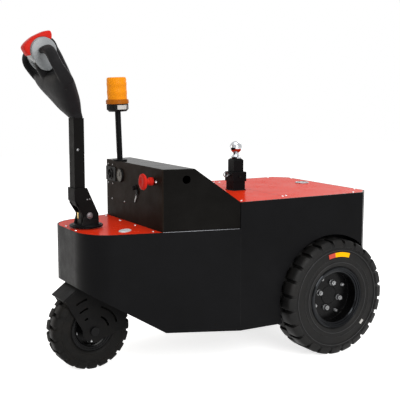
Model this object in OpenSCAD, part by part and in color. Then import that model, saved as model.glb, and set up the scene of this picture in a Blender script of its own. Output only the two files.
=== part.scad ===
// Walkie tow tractor: a battery tug that is led on foot by a folding tiller, with one steered
// wheel in front, two driven wheels behind and a tow ball on a square post.
// X points forward, towards the tiller, Y to the left and Z up, with the ground at zero. Stations
// along X count from the rear axle, and place() sets the origin on the ground below mid-length.

/* [Rear wheels] */
// Diameter of a rear tyre over its lugs
rear_tyre_d = 465; // [450:1:475]
// Width of a rear tyre
rear_tyre_w = 130; // [118:1:140]
// Distance between the middles of the rear tyres
rear_track = 604; // [590:1:616]
// Diameter of a rear rim over its flange
rear_rim_d = 248; // [236:1:262]
// Lugs in each of the two rows on a rear tyre
rear_lugs = 24; // [20:2:28]
// Height of the rear lugs
rear_lug_h = 13; // [6:1:16]

/* [Front wheel] */
// Distance from the rear axle to the steering axis
wheelbase = 913; // [905:1:921]
// Diameter of the front tyre over its lugs
front_tyre_d = 310; // [300:1:316]
// Width of the front tyre
front_tyre_w = 96; // [84:1:100]
// Diameter of the front rim over its flange
front_rim_d = 166; // [158:1:176]
// Lugs in each of the two rows on the front tyre
front_lugs = 20; // [16:2:24]
// Height of the front lugs
front_lug_h = 9; // [5:1:11]

/* [Body] */
// Width of the body over its straight rear part
body_w = 642; // [630:1:650]
// How far the body reaches behind the rear axle
tail = 208; // [195:1:220]
// How far each rear corner of the body is cut back
corner_cut = 52; // [40:1:60]
// Where the sides bend inwards, as a share of the wheelbase
bend_share = 0.47; // [0.45:0.005:0.48]
// How far the nose reaches ahead of the steering axis
nose_reach = 77; // [74:1:84]
// Angle by which each side runs inwards ahead of the bend
taper = 13.6; // [12.5:0.1:14.5]
// Radius of the corners of the nose
nose_r = 140; // [120:1:150]
// Thickness of the body plates
wall = 5; // [3:0.5:8]
// Height of the lower edge along the sides
floor_z = 151; // [140:1:160]
// Height of the lower edge where it turns up to the nose
turn_z = 166; // [160:1:172]
// How far behind the steering axis the lower edge turns up to the nose
turn_back = 204; // [199:1:212]
// Height of the lower edge at the nose
nose_cut_z = 335; // [325:1:345]
// Height of the body's rim round the front deck
front_deck_z = 541; // [530:1:545]
// Height of the body's rim round the rear deck
rear_deck_z = 641; // [620:1:660]
// Gap between a rear tyre and its wheel arch
arch_gap = 16; // [10:1:24]
// Thickness of the two deck plates
deck_t = 5; // [3:0.5:8]
// How far the deck plates lie below the rim
deck_drop = 0; // [0:0.5:4]
// Where the rear deck is split into two plates
deck_split_x = 197; // [180:1:205]

/* [Hood] */
// How far the front face of the hood stands behind the steering axis
hood_back = 195; // [189:1:198]
// Length of the flat hood top
hood_top = 118; // [100:1:135]
// How far the hood stands above the rear deck
hood_up = 129; // [115:1:140]
// Thickness of the hood's sheet
hood_t = 4; // [2:0.5:6]
// Diameter of the round hole in each hood side
side_hole_d = 31; // [24:1:40]

/* [Steering] */
// Diameter of the steering shaft
shaft_d = 50; // [40:1:56]
// Gap between the front tyre and each fork cheek
fork_gap = 8; // [6:1:12]
// Thickness of the fork's cheeks and crown
fork_t = 6; // [4:0.5:8]
// Gap between the front tyre and the fork's crown
crown_gap = 10; // [8:1:12]
// Diameter of the flange that carries the tiller
flange_d = 125; // [115:1:130]

/* [Tiller] */
// Height of the tiller's hinge pin above its flange
pin_up = 34; // [32:1:46]
// Diameter of the tiller's hinge pin
pin_d = 18; // [14:1:20]
// Depth of the tiller arm along the machine
arm_x = 40; // [34:1:42]
// Width of the tiller arm
arm_y = 50; // [44:1:54]
// How far the middle of the arm stands ahead of the hinge pin
arm_lead = 32; // [29:1:34]
// Height of the top of the arm above the hinge pin
arm_up = 360; // [340:1:380]
// Angle by which the tiller head leans forward
head_tilt = 30; // [26:1:33]

/* [Tow hitch] */
// Where the tow post stands, ahead of the rear axle
tow_x = 251; // [240:1:270]
// Side of the square tow post
post_w = 46; // [40:1:50]
// How far the tow post stands out of its socket
post_out = 54; // [40:1:70]
// Diameter of the tow ball
ball_d = 50; // [48:0.5:55]

/* [Beacon] */
// Diameter of the beacon's mast
mast_d = 23; // [18:1:28]
// Angle by which the mast leans forward
mast_lean = 2; // [0:0.5:3]
// Height of the foot of the beacon lens above the hood
lens_up = 227; // [190:1:250]
// Height of the beacon lens
lens_h = 104; // [90:1:115]
// Diameter of the beacon lens
lens_d = 86; // [76:1:92]

/* [Hidden] */
$fn = 64;

// Gap left between pieces that are fitted to one another
fit = 0.3;
// Room left round a turning piece
clear = 6;
// Width of the strips that the decks lie on
ledge = 15;
// How far a cutter reaches past the piece it cuts
over = 9;
rear_r = rear_tyre_d / 2;
front_r = front_tyre_d / 2;
arch_r = rear_r + arch_gap;
half_w = body_w / 2;
tail_x = -tail;
bend_x = bend_share * wheelbase;
nose_x = wheelbase + nose_reach;
turn_x = wheelbase - turn_back;
hood_x = wheelbase - hood_back;
crest_x = hood_x - hood_top;
tyre_in = rear_track / 2 - rear_tyre_w / 2;
nose_cx = nose_x - nose_r;
nose_cy = half_w - (nose_cx - bend_x) * tan(taper) - nose_r / cos(taper);
front_top = front_deck_z - deck_drop;
front_seat = front_top - deck_t;
rear_top = rear_deck_z - deck_drop;
rear_seat = rear_top - deck_t;
hood_z = rear_deck_z + hood_up;
slope = atan((hood_z - rear_deck_z) / (crest_x - bend_x));
// Half width of the body's plan at a station ahead of the bend
function plan_half(x, inset) = half_w - inset / cos(taper) - (x - bend_x) * tan(taper);
dash_half = plan_half(hood_x, wall + fit);

// Floor, rails and the masses inside
pan_z = turn_z + 2;
pan_top = pan_z + wall;
pan_rear = arch_r + 2;
rail_out = tyre_in - 15;
rail_t = 7;
rail_in = rail_out - rail_t;
rail_front = bend_x - 99;
rail_drop = 60;
battery_side = 18;
battery_drop = 61;
axle_d = 84;
axle_flange_d = 140;
gear_d = 190;
gear_len = 140;
motor_d = 160;
half_shaft_d = 44;
half_shaft_in = 50;
hub_d = 140;
hub_t = 14;
spigot_d = 72;

// Tow hitch
socket_h = 76;
socket_top = rear_top + socket_h;
post_top = socket_top + post_out;
collar_h = 38;
collar_t = 9;
socket_t = 5;
tow_pin_d = 12;
tow_pin_z = socket_top - 13;
post_chamfer = 6;
ball_up = 46;
neck_r = 12.5;

// Steering fork and its flange
crown_z = front_tyre_d + crown_gap;
crown_top = crown_z + fork_t;
well_z = crown_top + 12;
well_t = 8;
cheek_in = front_tyre_w / 2 + fork_gap;
cheek_out = cheek_in + fork_t;
fork_rear = 130;
fork_ahead = 62;
lip_reach = 117;
lip_drop = 40;
fork_back = wheelbase - fork_rear;
fork_bend = wheelbase + fork_ahead;
fork_lip = [wheelbase + lip_reach, crown_z - lip_drop];
cheek_d = 92;
slot_w = 8;
front_axle_d = 20;
flange_z = front_top + clear;
flange_t = 6;
step_t = 9;
step_z = flange_z + step_t;
pin_z = step_z + pin_up;
lug_side = arm_y / 2 - 5;
lug_r = 27;

// Tiller yoke, seen from its side with the hinge pin at zero
yoke_t = 8;
yoke_out = arm_y / 2 + yoke_t;
yoke_front = arm_lead + arm_x / 2;
yoke_top = 103;
yoke_r = 28;
arm_mid = wheelbase + arm_lead;
arm_foot = pin_z + 55;
arm_top = pin_z + arm_up;
arm_wall = 4;

// Beacon
mast_x = hood_x - 14;
mast_y = -0.6 * dash_half;
mast_foot_d = 58;
mast_foot_t = 6;
base_h = 31;

// Drum of the tiller head, seen from its side: above and ahead of the foot of the head
drum_up = 272;
drum_ahead = -10;
drum_r = 48;
drum_half = 26;
cap_out = 34;
shell_r = drum_r + 9;
// Outline of the red bow, ahead of and above the middle of the drum
bow = [[55, 10], [57, 28], [55, 44], [40, 52], [18, 57], [-2, 58.5], [-40, 55], [-59, 48],
    [-60, 36], [-53, 24], [0, 0]];
bow_half = 23;
// Half thickness and half breadth of a grip
grip_r = 12;
grip_w = 20;
// Path of the left grip: ahead, out and up from the foot of the head
grip_path = [[0, 114, 148], [6, 134, 182], [11, 144, 213], [12, 146, 236], [8, 138, 257],
    [1, 116, 272], [-5, 80, 279], [-8, 38, 277]];
grip_last = len(grip_path) - 1;
function on_head(p) = [arm_mid + p[0] * cos(head_tilt) + p[2] * sin(head_tilt), p[1],
    arm_top - p[0] * sin(head_tilt) + p[2] * cos(head_tilt)];
front_reach = max(max([for (p = grip_path) on_head(p)[0]]) + grip_w,
    max([for (p = bow) on_head([drum_ahead + p[0], 0, drum_up + p[1]])[0]]));
mid_x = (front_reach - rear_r) / 2;

black = [0.11, 0.11, 0.12];
red = [0.75, 0.12, 0.15];
steel = [0.62, 0.63, 0.65];
rubber = [0.06, 0.06, 0.06];

module place() translate([-mid_x, 0, 0]) children();

// A plate whose outline is drawn in side view, from one width station to another
module slab(points, y0, y1) translate([0, y1, 0]) rotate([90, 0, 0])
    linear_extrude(y1 - y0) polygon(points);

module box(x0, x1, y0, y1, z0, z1) translate([x0, y0, z0]) cube([x1 - x0, y1 - y0, z1 - z0]);

// A rod along the width of the machine
module cross_rod(x, z, d, y0, y1) translate([x, y0, z]) rotate([-90, 0, 0])
    cylinder(d = d, h = y1 - y0);

module sided(side) mirror([0, side < 0 ? 1 : 0, 0]) children();

// Plan of the body, drawn in from its outer face
module plan(inset) {
    arc = nose_r - inset;
    tx = nose_cx + arc * sin(taper);
    ty = nose_cy + arc * cos(taper);
    w = half_w - inset;
    b = bend_x - inset * tan(taper / 2);
    cut = corner_cut - inset * (1 - tan(22.5));
    rear = tail_x + inset;
    polygon([[rear, cut - w], [rear + cut, -w], [b, -w], [tx, -ty], [tx, ty], [b, w],
        [rear + cut, w], [rear, w - cut]]);
    for (s = [-1, 1]) translate([nose_cx, s * nose_cy]) circle(r = arc, $fn = 128);
    translate([nose_cx, -nose_cy]) square([arc, 2 * nose_cy]);
}

module plan_ring(outer, inner, z0, z1) translate([0, 0, z0]) linear_extrude(z1 - z0)
    difference() {
        plan(outer);
        plan(inner);
    }

module plan_plate(inset, x0, x1, z0, z1) intersection() {
    translate([0, 0, z0]) linear_extrude(z1 - z0) plan(inset);
    box(x0, x1, -body_w, body_w, z0 - 1, z1 + 1);
}

module front_wrap() color(black) intersection() {
    union() {
        plan_ring(0, wall, floor_z - 1, front_deck_z);
        plan_ring(wall, wall + ledge, front_seat - wall, front_seat);
    }
    slab([[bend_x, floor_z], [turn_x, turn_z], [nose_x, nose_cut_z], [nose_x + over, nose_cut_z],
        [nose_x + over, front_deck_z + over], [bend_x, front_deck_z + over]], -body_w, body_w);
}

module side(s) color(black) sided(s) {
    rear_x = tail_x + wall;
    intersection() {
        union() {
            difference() {
                plan_ring(0, wall, floor_z, rear_deck_z);
                cross_rod(0, rear_r, 2 * arch_r, rail_out, half_w + over);
                box(tail_x - over, 0, rail_out, half_w + over, floor_z - over, rear_r);
            }
            plan_ring(wall, wall + ledge, rear_seat - wall, rear_seat);
        }
        box(rear_x, bend_x, 0, half_w + over, 0, rear_deck_z + over);
    }
}
module side_left() side(1);
module side_right() side(-1);

// The rear plate lies between the cut corners and narrows where the arches reach it
module rear_panel() color(black) {
    neck_z = rear_r + sqrt(max(arch_r * arch_r - (tail - wall) * (tail - wall), 0));
    half = half_w - corner_cut;
    box(tail_x, tail_x + wall, -half, half, neck_z, rear_deck_z);
    box(tail_x, tail_x + wall, -rail_out, rail_out, pan_top + 30, neck_z + 1);
}

module floor_pan() color(black) plan_plate(wall + fit, pan_rear, turn_x, pan_z, pan_top);

module rail(s) color(black) sided(s) difference() {
    box(tail_x + wall, rail_front, rail_in, rail_out, pan_top, rear_seat - rail_drop);
    cross_rod(0, rear_r, half_shaft_d + 16, rail_in - over, rail_out + over);
}
module rail_left() rail(1);
module rail_right() rail(-1);

module wheel_well() color(black) difference() {
    union() {
        plan_plate(wall + fit, turn_x - wall, nose_x, well_z, well_z + well_t);
        plan_plate(wall + fit, turn_x - wall, turn_x, pan_top, well_z + 1);
        translate([wheelbase, 0, well_z]) cylinder(d = shaft_d + 36, h = front_seat - 20 - well_z);
    }
    translate([wheelbase, 0, well_z - over]) cylinder(d = shaft_d + 2 * fit, h = front_deck_z);
}

module battery() color([0.2, 0.22, 0.25]) {
    half = plan_half(turn_x, wall) - battery_side;
    box(rail_front + 5, turn_x - 14, -half, half, pan_top, front_seat - battery_drop);
}

module hood() color(black) difference() {
    intersection() {
        translate([0, 0, front_seat]) linear_extrude(hood_z - front_seat) plan(wall + fit);
        slab([[bend_x, front_seat], [hood_x - hood_t, front_seat], [hood_x - hood_t, hood_z],
            [crest_x, hood_z], [bend_x, rear_deck_z]], -body_w, body_w);
    }
    intersection() {
        translate([0, 0, front_seat - over]) linear_extrude(hood_z - front_seat)
            plan(wall + fit + hood_t);
        slab([[bend_x - over, front_seat - over], [hood_x + over, front_seat - over],
            [hood_x + over, hood_z - hood_t], [crest_x + hood_t * tan(slope / 2), hood_z - hood_t],
            [bend_x - over, rear_deck_z - hood_t / cos(slope) - over * tan(slope)]],
            -body_w, body_w);
    }
    hole_x = hood_x - 88;
    for (s = [-1, 1]) sided(s) translate([hole_x, plan_half(hole_x, wall + fit), hood_z - 39])
        rotate([-90, 0, -taper]) translate([0, 0, -25]) cylinder(d = side_hole_d, h = 50);
}

module dash_panel() color(black) intersection() {
    translate([0, 0, front_seat]) linear_extrude(hood_z - front_seat) plan(wall + fit);
    box(hood_x - hood_t, hood_x, -body_w, body_w, 0, hood_z + over);
}

module front_deck() color(red) difference() {
    plan_plate(wall + fit, hood_x + fit, nose_x, front_seat, front_top);
    translate([wheelbase, 0, front_seat - over]) cylinder(d = shaft_d + 20, h = deck_t + 2 * over);
}

module rear_deck_front() color(red)
    plan_plate(wall + fit, deck_split_x, bend_x, rear_seat, rear_top);

module rear_deck_rear() color(red)
    plan_plate(wall + fit, tail_x, deck_split_x - 1, rear_seat, rear_top);

module post_box(w, z0, z1) box(tow_x - w / 2, tow_x + w / 2, -w / 2, w / 2, z0, z1);
// The hitch pin lies along the machine
module pin_rod(d, x0, x1) translate([tow_x + x0, 0, tow_pin_z]) rotate([0, 90, 0])
    cylinder(d = d, h = x1 - x0);

module tow_socket() color(black) difference() {
    union() {
        post_box(post_w + 2 * socket_t, rear_top, socket_top - collar_h);
        post_box(post_w + 2 * collar_t, socket_top - collar_h - 1, socket_top);
    }
    post_box(post_w + 2 * fit, rear_top - over, socket_top + over);
    pin_rod(tow_pin_d + 2 * fit, -post_w, post_w);
}

module tow_post() color(black) difference() {
    union() {
        post_box(post_w, rear_top, post_top - post_chamfer);
        translate([tow_x, 0, post_top - post_chamfer - 0.01]) rotate(45)
            cylinder(d1 = post_w * sqrt(2), d2 = (post_w - 2 * post_chamfer) * sqrt(2),
                h = post_chamfer + 0.01, $fn = 4);
    }
    pin_rod(tow_pin_d + 2 * fit, -post_w, post_w);
}

module tow_ball() color(steel) translate([tow_x, 0, post_top]) rotate_extrude($fn = 96) {
    polygon([[0, 0], [neck_r + 4.5, 0], [neck_r + 4.5, 9], [neck_r, 16], [neck_r, 30], [0, 30]]);
    translate([0, ball_up]) intersection() {
        circle(d = ball_d);
        translate([0, -ball_d]) square([ball_d, 2 * ball_d]);
    }
}

module tow_pin() color(steel) {
    pin_rod(tow_pin_d, -post_w / 2 - 14, post_w / 2 + 16);
    translate([tow_x + post_w / 2 + 25, 0, tow_pin_z + 3]) rotate([90, 0, 0])
        rotate_extrude() translate([10, 0]) circle(d = 4, $fn = 24);
}

module axle_housing() color([0.2, 0.2, 0.21]) difference() {
    union() {
        cross_rod(0, rear_r, axle_d, -rail_in, rail_in);
        for (s = [-1, 1]) sided(s) cross_rod(0, rear_r, axle_flange_d, rail_in - 12, rail_in);
        translate([-gear_len / 2, 0, rear_r]) rotate([0, 90, 0]) cylinder(d = gear_d, h = gear_len);
    }
    for (s = [-1, 1]) sided(s) cross_rod(0, rear_r, half_shaft_d + 2 * fit,
        rail_out - half_shaft_in - 10, rail_out + over);
}

module drive_motor() color([0.3, 0.3, 0.32]) translate([gear_len / 2, 0, rear_r]) rotate([0, 90, 0])
    cylinder(d = motor_d, h = pan_rear - gear_len / 2 - 12);

// Controls on the front face of the hood, placed across by shares of its half width
module on_dash(share, drop) translate([hood_x, share * dash_half, hood_z - drop]) rotate([0, 90, 0])
    children();

module estop() color([0.8, 0.1, 0.1]) on_dash(0.672, 50)
    rotate_extrude() polygon([[0, 0], [15, 0], [15, 13], [10, 16], [9, 22], [12, 27], [27, 33],
        [30, 37], [29, 42], [20, 45], [0, 42]]);

module key_switch() color(steel) on_dash(0.11, 89) {
    cylinder(d = 24, h = 5);
    cylinder(d = 18, h = 13);
    translate([-11, -1.5, 12]) cube([22, 3, 22]);
}

module gauge() color([0.75, 0.73, 0.66]) on_dash(-0.45, 54) cylinder(d = 54, h = 6);

module charge_socket() color([0.15, 0.15, 0.16]) on_dash(-0.814, 55) difference() {
    union() {
        translate([-28, -45, 0]) cube([56, 90, 4]);
        cylinder(d = 44, h = 8);
    }
    translate([0, 0, 2]) cylinder(d = 36, h = over);
}

// Beacon on its mast, with heights counted from the hood
module on_mast(up) translate([mast_x, mast_y, hood_z]) rotate([0, mast_lean, 0])
    translate([0, 0, up]) children();
module mast() color(black) {
    translate([mast_x, mast_y, hood_z]) cylinder(d = mast_foot_d, h = mast_foot_t);
    on_mast(mast_foot_t / 2) cylinder(d = mast_d, h = lens_up - base_h - mast_foot_t / 2);
}
module beacon_base() color(black) on_mast(lens_up - base_h)
    rotate_extrude() polygon([[0, 0], [lens_d / 2 - 8, 0], [lens_d / 2 - 1, 8],
        [lens_d / 2 - 1, base_h], [0, base_h]]);
module beacon_lens() color([0.9, 0.5, 0.08]) on_mast(lens_up) {
    r = lens_d / 2;
    rotate_extrude() polygon([[0, 0], [r + 2, 0], [r + 2, 9], [r - 3, 10], [r - 4, lens_h * 0.43],
        [r - 2, lens_h * 0.45], [r - 2, lens_h * 0.48], [r - 4.5, lens_h * 0.5],
        [r - 5.5, lens_h * 0.72], [r - 3.5, lens_h * 0.74], [r - 3.5, lens_h * 0.77],
        [r - 5.5, lens_h * 0.79], [r - 6, lens_h - 6], [r - 8.5, lens_h - 2], [r - 13, lens_h],
        [0, lens_h]]);
}

// A tyre on the width axis, its middle at zero: two rows of lugs, half a pitch apart
module lug_row(r, lug_h, lugs, gap, turn) difference() {
    circle(r = r + 1, $fn = 128);
    for (i = [0 : lugs - 1]) rotate(90 + turn + (i + 0.5) * 360 / lugs)
        translate([r - lug_h, -gap / 2]) square([lug_h + 9, gap]);
}
module tyre(r, w, rim_r, lug_h, lugs, gap) color(rubber) rotate([-90, 0, 0]) intersection() {
    rotate_extrude($fn = 128) polygon([[rim_r - 16, -w / 2 + 16], [rim_r - 2, -w / 2 + 10],
        [rim_r + 5, -w / 2], [r - lug_h - 18, -w / 2], [r - lug_h, -w / 2 + 3], [r, -w / 2 + 11],
        [r, w / 2 - 11], [r - lug_h, w / 2 - 3], [r - lug_h - 18, w / 2], [rim_r + 5, w / 2],
        [rim_r - 2, w / 2 - 10], [rim_r - 16, w / 2 - 16]]);
    union() {
        linear_extrude(w) lug_row(r, lug_h, lugs, gap, 0);
        translate([0, 0, -w]) linear_extrude(w) lug_row(r, lug_h, lugs, gap, 180 / lugs);
    }
}

// A split rim on the width axis: flanges, barrel and a disc in the middle
module rim(w, rim_r, disc_y, disc_t, bore_d) color(black) rotate([-90, 0, 0])
    rotate_extrude($fn = 128) {
        h = w / 2;
        // Steps of the lip: in from the rim's radius, in from the tyre's side
        lip = [[22, 15], [17, 12.5], [16, 8.5], [10, 7], [9, 4], [4, 3], [0, 6], [4, 9]];
        bead = rim_r - 16 - fit;
        polygon(concat([for (q = lip) [rim_r - q[0], q[1] - h]], [[bead, 16 - h], [bead, h - 16]],
            [for (i = [len(lip) - 1 : -1 : 0]) [rim_r - lip[i][0], h - lip[i][1]]]));
        translate([bore_d / 2, disc_y]) square([rim_r - 21 - bore_d / 2, disc_t]);
    }

module rear_wheel_place(s) sided(s) translate([0, rear_track / 2, rear_r]) children();

module tyre_left() rear_wheel_place(1)
    tyre(rear_r, rear_tyre_w, rear_rim_d / 2, rear_lug_h, rear_lugs, 15);
module tyre_right() rear_wheel_place(-1)
    tyre(rear_r, rear_tyre_w, rear_rim_d / 2, rear_lug_h, rear_lugs, 15);
module rim_left() rear_wheel_place(1) rim(rear_tyre_w, rear_rim_d / 2, -4, 10, spigot_d + 4);
module rim_right() rear_wheel_place(-1) rim(rear_tyre_w, rear_rim_d / 2, -4, 10, spigot_d + 4);

module hub(s) color(steel) rear_wheel_place(s) rotate([-90, 0, 0]) {
    shaft_y = rail_out - half_shaft_in - rear_track / 2;
    translate([0, 0, -4 - hub_t]) cylinder(d = hub_d, h = hub_t);
    translate([0, 0, -5]) cylinder(d = spigot_d, h = 12);
    translate([0, 0, shaft_y]) cylinder(d = half_shaft_d, h = -shaft_y - 10);
}
module hub_left() hub(1);
module hub_right() hub(-1);

// Steering: flange above the deck, shaft, fork and wheel
module tiller_flange() color([0.75, 0.6, 0.3]) difference() {
    union() {
        translate([wheelbase, 0, flange_z]) cylinder(d = flange_d, h = flange_t);
        translate([wheelbase, 0, flange_z]) cylinder(d = flange_d - 16, h = step_z - flange_z);
        box(wheelbase - lug_r, wheelbase + lug_r, -lug_side, lug_side, step_z - 1, pin_z);
        cross_rod(wheelbase, pin_z, 2 * lug_r, -lug_side, lug_side);
    }
    cross_rod(wheelbase, pin_z, pin_d + 2 * fit, -arm_y, arm_y);
}
module steer_shaft() color(steel) translate([wheelbase, 0, crown_top])
    cylinder(d = shaft_d, h = flange_z - crown_top);

// Part of a ring in side view, between two angles counted forward from straight up
module arc_bar(r0, r1, from, to, y0, y1) rotate([90, 0, 0]) rotate([0, 0, 90 - to])
    rotate_extrude(angle = to - from, $fn = 96) translate([r0, -y1]) square([r1 - r0, y1 - y0]);

module fork_crown() color(black) slab([[fork_back, crown_z], [fork_bend, crown_z], fork_lip,
    fork_lip + [3.4, 5], [fork_bend + 2, crown_top], [fork_back, crown_top]], -cheek_out, cheek_out);

// Slots round the axle in each cheek: radius and the two end angles
cheek_slots = [[129, 12, 33], [94, 14, 37], [58, 24, 39], [94, -76, -18], [59, -78, -28]];
module fork_cheeks() color(black) for (s = [-1, 1]) sided(s) difference() {
    union() {
        slab([[fork_back, crown_z], [fork_bend, crown_z], fork_lip + [-4, 2.8],
            [wheelbase + 32, front_r - 17], [wheelbase - 13, front_r - 40],
            [fork_back, front_r - 3]], cheek_in, cheek_out);
        cross_rod(wheelbase, front_r, cheek_d, cheek_in, cheek_out);
    }
    cross_rod(wheelbase, front_r, front_axle_d + 2 * fit, cheek_in - over, cheek_out + over);
    for (q = cheek_slots) translate([wheelbase, 0, front_r])
        arc_bar(q[0] - slot_w / 2, q[0] + slot_w / 2, q[1], q[2], cheek_in - over,
            cheek_out + over);
}
module front_axle() color(steel) {
    cross_rod(wheelbase, front_r, front_axle_d, -cheek_out - 4, cheek_out + 4);
    for (s = [-1, 1]) sided(s) cross_rod(wheelbase, front_r, 32, cheek_out, cheek_out + 9);
}

module front_rim() translate([wheelbase, 0, front_r]) {
    rim(front_tyre_w, front_rim_d / 2, -4, 8, 50);
    color(black) difference() {
        cross_rod(0, 0, 52, -cheek_in + clear, cheek_in - clear);
        cross_rod(0, 0, front_axle_d + 2 * fit, -cheek_in, cheek_in);
    }
}
module front_tyre() translate([wheelbase, 0, front_r])
    tyre(front_r, front_tyre_w, front_rim_d / 2, front_lug_h, front_lugs, 13);

// Tiller: pin, yoke, arm and head
module tiller_pin() color(steel) {
    cross_rod(wheelbase, pin_z, pin_d, -yoke_out - fit, yoke_out + fit);
    for (s = [-1, 1]) sided(s) cross_rod(wheelbase, pin_z, pin_d + 6, yoke_out + fit, yoke_out + 5);
}
module tiller_yoke() color(black) difference() {
    translate([wheelbase, 0, pin_z]) {
        for (s = [-1, 1]) sided(s) {
            slab([[-37, -yoke_r + 6], [14, -yoke_r + 6], [20, -8], [yoke_front, 44],
                [yoke_front, yoke_top], [7, yoke_top], [-37, 4]], arm_y / 2, yoke_out);
            cross_rod(0, 0, 2 * yoke_r, arm_y / 2, yoke_out);
        }
        box(yoke_front, yoke_front + 5, -yoke_out, yoke_out, 55, yoke_top);
    }
    cross_rod(wheelbase, pin_z, pin_d + 2 * fit, -2 * yoke_out, 2 * yoke_out);
}
module tiller_arm() color(black) difference() {
    box(arm_mid - arm_x / 2, arm_mid + arm_x / 2, -arm_y / 2, arm_y / 2, arm_foot, arm_top);
    box(arm_mid - arm_x / 2 + arm_wall, arm_mid + arm_x / 2 - arm_wall, -arm_y / 2 + arm_wall,
        arm_y / 2 - arm_wall, arm_foot - over, arm_top + over);
}

// Rings of points skinned into one closed surface
module skin(rings) {
    n = len(rings[0]);
    last = len(rings) - 1;
    polyhedron(points = [for (r = rings) each r], faces = concat(
        [[for (k = [0 : n - 1]) k]], [[for (k = [n - 1 : -1 : 0]) last * n + k]],
        [for (i = [0 : last - 1], k = [0 : n - 1]) let (a = i * n + k, b = i * n + (k + 1) % n)
            each [[a, a + n, b + n], [a, b + n, b]]]));
}
// Sections of the broad housing and of its core: middle ahead and up, lean, half width, half depth
housing = [[0, 0, 0, 29, 23], [0, 20, 0.4, 33, 27], [-3, 58, 1, 58, 37], [-2, 98, 1, 88, 41],
    [0, 130, 1, 114, 43], [2, 156, 1, 133, 42], [3, 176, 1, 143, 37], [4, 190, 1, 142, 29],
    [5, 198, 1, 136, 17]];
core = [[-12, 140, 1, 46, 48], [-14, 178, 1, 34, 52], [-14.5, 196, 1, 27, 53.5],
    [-15.5, 225, 1, 26.5, 54.5], [-20, 250, 1, 26, 50], [-28, 268, 1, 24, 40]];
function soft(c) = sign(c) * pow(abs(c), 0.75);
function head_ring(q) = let (m = on_head([q[0], 0, q[1]]), lean = q[2] * head_tilt)
    [for (k = [0 : 31]) let (c = soft(cos(k * 11.25)), s = soft(sin(k * 11.25)))
        [m[0] + q[4] * c * cos(lean), q[3] * s, m[2] - q[4] * c * sin(lean)]];
module head_place() translate(on_head([0, 0, 0])) rotate([0, head_tilt, 0]) children();
module drum_place() head_place() translate([drum_ahead, 0, drum_up]) children();

module tiller_head() color(black) difference() {
    union() {
        skin([for (q = housing) head_ring(q)]);
        skin([for (q = core) head_ring(q)]);
        drum_place() arc_bar(drum_r - 2, shell_r, -150, -68, -drum_half + 2, drum_half - 2);
    }
    drum_place() cross_rod(0, 0, 2 * (drum_r + fit), -arm_y, arm_y);
}

function unit(v) = v / norm(v);
// Point at u along a smooth curve through the path
function along(path, u) = let (n = len(path) - 1, i = min(floor(u), n - 1), f = u - i,
    a = path[max(i - 1, 0)], b = path[i], c = path[i + 1], d = path[min(i + 2, n)])
    0.5 * (2 * b + f * (c - a) + f * f * (2 * a - 5 * b + 4 * c - d)
        + f * f * f * (3 * b - a - 3 * c + d));
// Way in which a grip is broad
grip_side = [1, -0.36, 0];
function grip_ring(u) = let (p = along(grip_path, u), swell = 1 + 0.15 * max(0, 2 - u),
    t = unit(along(grip_path, min(u + 0.05, grip_last)) - along(grip_path, max(u - 0.05, 0))),
    e = unit(cross(t, grip_side)), g = cross(t, e))
    [for (k = [0 : 15]) p + swell * (grip_r * soft(cos(k * 22.5)) * e
        + grip_w * soft(sin(k * 22.5)) * g)];
module grip(s) color(rubber) sided(s) head_place()
    skin([for (k = [0 : 20]) grip_ring(k * grip_last / 20)]);
module grip_left() grip(1);
module grip_right() grip(-1);

// Drum with a thumb wing at each end
module throttle() color([0.68, 0.69, 0.7]) drum_place() {
    cross_rod(0, 0, 2 * drum_r, -drum_half, drum_half);
    for (s = [-1, 1]) sided(s) {
        cross_rod(0, 0, 2 * drum_r - 2, drum_half - 1, cap_out);
        slab([[drum_r - 1, 0], [48, -26], [42, -50], [28, -65], [14, -70], [-2, -62], [-26, -40],
            [0, 0]], drum_half + 2, cap_out);
    }
}

module belly_switch() color([0.82, 0.12, 0.12]) drum_place() difference() {
    slab(bow, -bow_half, bow_half);
    cross_rod(0, 0, 2 * (drum_r + fit), -arm_y, arm_y);
}

place() {
    front_wrap();
    side_left();
    side_right();
    rear_panel();
    floor_pan();
    rail_left();
    rail_right();
    wheel_well();
    battery();
    hood();
    dash_panel();
    front_deck();
    rear_deck_front();
    rear_deck_rear();
    tow_socket();
    tow_post();
    tow_ball();
    tow_pin();
    axle_housing();
    drive_motor();
    estop();
    key_switch();
    gauge();
    charge_socket();
    mast();
    beacon_base();
    beacon_lens();
    hub_left();
    rim_left();
    tyre_left();
    hub_right();
    rim_right();
    tyre_right();
    tiller_flange();
    steer_shaft();
    fork_crown();
    fork_cheeks();
    front_axle();
    front_rim();
    front_tyre();
    tiller_pin();
    tiller_yoke();
    tiller_arm();
    tiller_head();
    grip_left();
    grip_right();
    throttle();
    belly_switch();
}
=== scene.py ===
import bpy
import bmesh
from math import sin, cos, tan, pi, radians
from mathutils import Vector, Matrix
from mathutils.bvhtree import BVHTree


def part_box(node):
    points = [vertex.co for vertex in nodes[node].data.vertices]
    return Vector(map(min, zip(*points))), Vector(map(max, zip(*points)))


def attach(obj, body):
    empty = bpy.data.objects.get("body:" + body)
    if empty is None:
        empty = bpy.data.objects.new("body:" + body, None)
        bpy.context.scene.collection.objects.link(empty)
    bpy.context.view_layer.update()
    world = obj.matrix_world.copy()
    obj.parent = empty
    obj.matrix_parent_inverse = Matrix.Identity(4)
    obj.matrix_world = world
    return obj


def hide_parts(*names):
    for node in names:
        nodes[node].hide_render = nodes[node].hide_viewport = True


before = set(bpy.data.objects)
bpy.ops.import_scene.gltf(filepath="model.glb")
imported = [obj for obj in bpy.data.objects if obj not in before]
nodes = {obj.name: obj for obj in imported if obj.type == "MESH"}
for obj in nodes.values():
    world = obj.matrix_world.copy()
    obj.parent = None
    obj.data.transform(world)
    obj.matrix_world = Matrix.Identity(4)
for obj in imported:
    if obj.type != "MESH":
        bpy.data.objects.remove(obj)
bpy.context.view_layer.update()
scene = bpy.context.scene

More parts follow.
